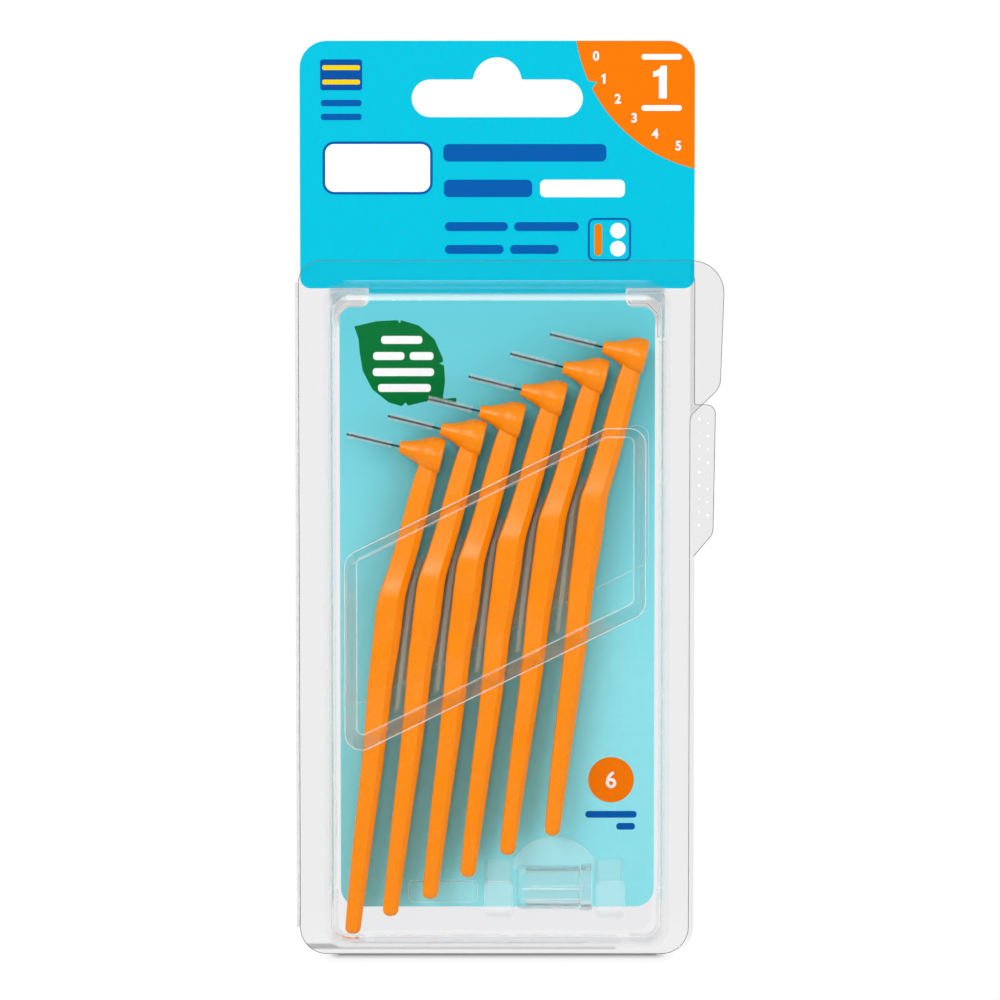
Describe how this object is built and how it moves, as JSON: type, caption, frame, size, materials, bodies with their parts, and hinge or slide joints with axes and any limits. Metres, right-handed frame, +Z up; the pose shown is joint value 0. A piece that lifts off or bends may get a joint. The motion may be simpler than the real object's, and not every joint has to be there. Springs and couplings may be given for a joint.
{
  "type": "interdental brush",
  "caption": "Angled interdental brushes with orange handles and a protective cap, in a clear hinged hanging case with a printed card.",
  "frame": {"origin": "middle of the hang slot, in the middle of the card's thickness", "axes": "+Z up the card towards the hang slot's edge, +Y to the back, +X to the right seen from the front"},
  "size_m": [0.0813, 0.0165, 0.1737],
  "materials": {
    "clear_sheet": "glossy clear formed plastic sheet",
    "clear_cap": "glossy clear moulded plastic",
    "printed_card": "coated print",
    "orange_handle": "satin moulded plastic",
    "steel_wire": "twisted drawn wire",
    "bristle": "fine nylon filament"
  },
  "bodies": {
    "pack": {"rear_shell": "clear_sheet", "insert_card": "printed_card", "brush_tray": "clear_sheet", "living_hinge": "clear_sheet"},
    "cover": {"front_shell": "clear_sheet"},
    "cap": {"protective_cap": "clear_cap"},
    "brush_1": {"handle_1": "orange_handle", "wire_core_1": "steel_wire", "bristles_1": "bristle"},
    "brush_2": {"handle_2": "orange_handle", "wire_core_2": "steel_wire", "bristles_2": "bristle"},
    "brush_3": {"handle_3": "orange_handle", "wire_core_3": "steel_wire", "bristles_3": "bristle"},
    "brush_4": {"handle_4": "orange_handle", "wire_core_4": "steel_wire", "bristles_4": "bristle"},
    "brush_5": {"handle_5": "orange_handle", "wire_core_5": "steel_wire", "bristles_5": "bristle"},
    "brush_6": {"handle_6": "orange_handle", "wire_core_6": "steel_wire", "bristles_6": "bristle"}
  },
  "joints": [
    {"name": "cover_hinge", "type": "hinge", "parent": "pack", "child": "cover", "pos_m": [-0.0377, -0.00007, -0.0967], "axis": [0, 0, -1], "range_deg": [0, 180], "deforming": ["living_hinge"]},
    {"name": "cap_lift", "type": "slide", "parent": "pack", "child": "cap", "axis": [0, -1, 0], "range_m": [0, 0.023]},
    {"name": "brush_1_lift", "type": "slide", "parent": "pack", "child": "brush_1", "axis": [0, -1, 0], "range_m": [0, 0.023]},
    {"name": "brush_2_lift", "type": "slide", "parent": "pack", "child": "brush_2", "axis": [0, -1, 0], "range_m": [0, 0.023]},
    {"name": "brush_3_lift", "type": "slide", "parent": "pack", "child": "brush_3", "axis": [0, -1, 0], "range_m": [0, 0.023]},
    {"name": "brush_4_lift", "type": "slide", "parent": "pack", "child": "brush_4", "axis": [0, -1, 0], "range_m": [0, 0.023]},
    {"name": "brush_5_lift", "type": "slide", "parent": "pack", "child": "brush_5", "axis": [0, -1, 0], "range_m": [0, 0.023]},
    {"name": "brush_6_lift", "type": "slide", "parent": "pack", "child": "brush_6", "axis": [0, -1, 0], "range_m": [0, 0.023]}
  ],
  "couplings": [
    {"joint": "cap_lift", "follows": "cover_hinge", "m_per_rad": 0.007},
    {"joint": "brush_1_lift", "follows": "cover_hinge", "m_per_rad": 0.007},
    {"joint": "brush_2_lift", "follows": "cover_hinge", "m_per_rad": 0.007},
    {"joint": "brush_3_lift", "follows": "cover_hinge", "m_per_rad": 0.007},
    {"joint": "brush_4_lift", "follows": "cover_hinge", "m_per_rad": 0.007},
    {"joint": "brush_5_lift", "follows": "cover_hinge", "m_per_rad": 0.007},
    {"joint": "brush_6_lift", "follows": "cover_hinge", "m_per_rad": 0.007}
  ]
}
